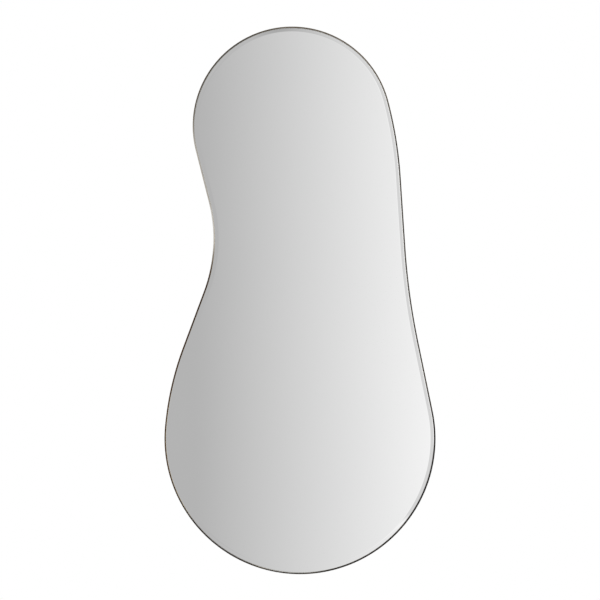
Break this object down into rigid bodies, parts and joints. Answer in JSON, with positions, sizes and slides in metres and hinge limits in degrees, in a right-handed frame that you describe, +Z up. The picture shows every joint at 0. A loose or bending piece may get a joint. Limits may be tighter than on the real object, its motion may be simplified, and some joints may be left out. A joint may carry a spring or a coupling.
{
  "type": "irregular shaped wall mirror",
  "caption": "Tall wall mirror with a free-form pear shaped outline and a waist on one side, in a thin dark metal strip frame, with a backing board and swinging D-ring hangers.",
  "frame": {"origin": "point on the wall plane at half the mirror's height, in line with the centre of its round lower end", "axes": "+Z up the height, +X to the right as seen from the front, +Y from the glass towards the wall"},
  "size_m": [0.495, 0.024, 0.9999],
  "materials": {
    "aged_bronze": "satin dark bronze, slightly mottled",
    "silvered_glass": "polished, silvered on the back",
    "fibreboard": "raw medium density fibreboard",
    "white_foam": "matt foam",
    "zinc_steel": "bright zinc plate",
    "black_rubber": "matt moulded rubber"
  },
  "bodies": {
    "mirror": {"frame_band": "aged_bronze", "mirror_glass": "silvered_glass", "foam_tape_1": "white_foam", "foam_tape_2": "white_foam", "foam_tape_3": "white_foam", "foam_tape_4": "white_foam", "foam_tape_5": "white_foam", "backing_board": "fibreboard", "frame_tab_1": "aged_bronze", "frame_tab_2": "aged_bronze", "frame_tab_3": "aged_bronze", "frame_tab_4": "aged_bronze", "frame_tab_5": "aged_bronze", "frame_tab_6": "aged_bronze", "frame_tab_7": "aged_bronze", "frame_tab_8": "aged_bronze", "tab_screw_1": "zinc_steel", "tab_screw_2": "zinc_steel", "tab_screw_3": "zinc_steel", "tab_screw_4": "zinc_steel", "tab_screw_5": "zinc_steel", "tab_screw_6": "zinc_steel", "tab_screw_7": "zinc_steel", "tab_screw_8": "zinc_steel", "hanger_strap_left": "zinc_steel", "hanger_strap_right": "zinc_steel", "strap_screw_left_1": "zinc_steel", "strap_screw_left_2": "zinc_steel", "strap_screw_right_1": "zinc_steel", "strap_screw_right_2": "zinc_steel", "bumper_1": "black_rubber", "bumper_2": "black_rubber", "bumper_3": "black_rubber", "bumper_4": "black_rubber"},
    "ring_left": {"hanger_ring_left": "zinc_steel"},
    "ring_right": {"hanger_ring_right": "zinc_steel"}
  },
  "joints": [
    {"name": "ring_left_swing", "type": "hinge", "parent": "mirror", "child": "ring_left", "pos_m": [-0.1, -0.00505, 0.29], "axis": [1, 0, 0], "range_deg": [0, 180]},
    {"name": "ring_right_swing", "type": "hinge", "parent": "mirror", "child": "ring_right", "pos_m": [0.1, -0.00505, 0.29], "axis": [1, 0, 0], "range_deg": [0, 180]}
  ]
}
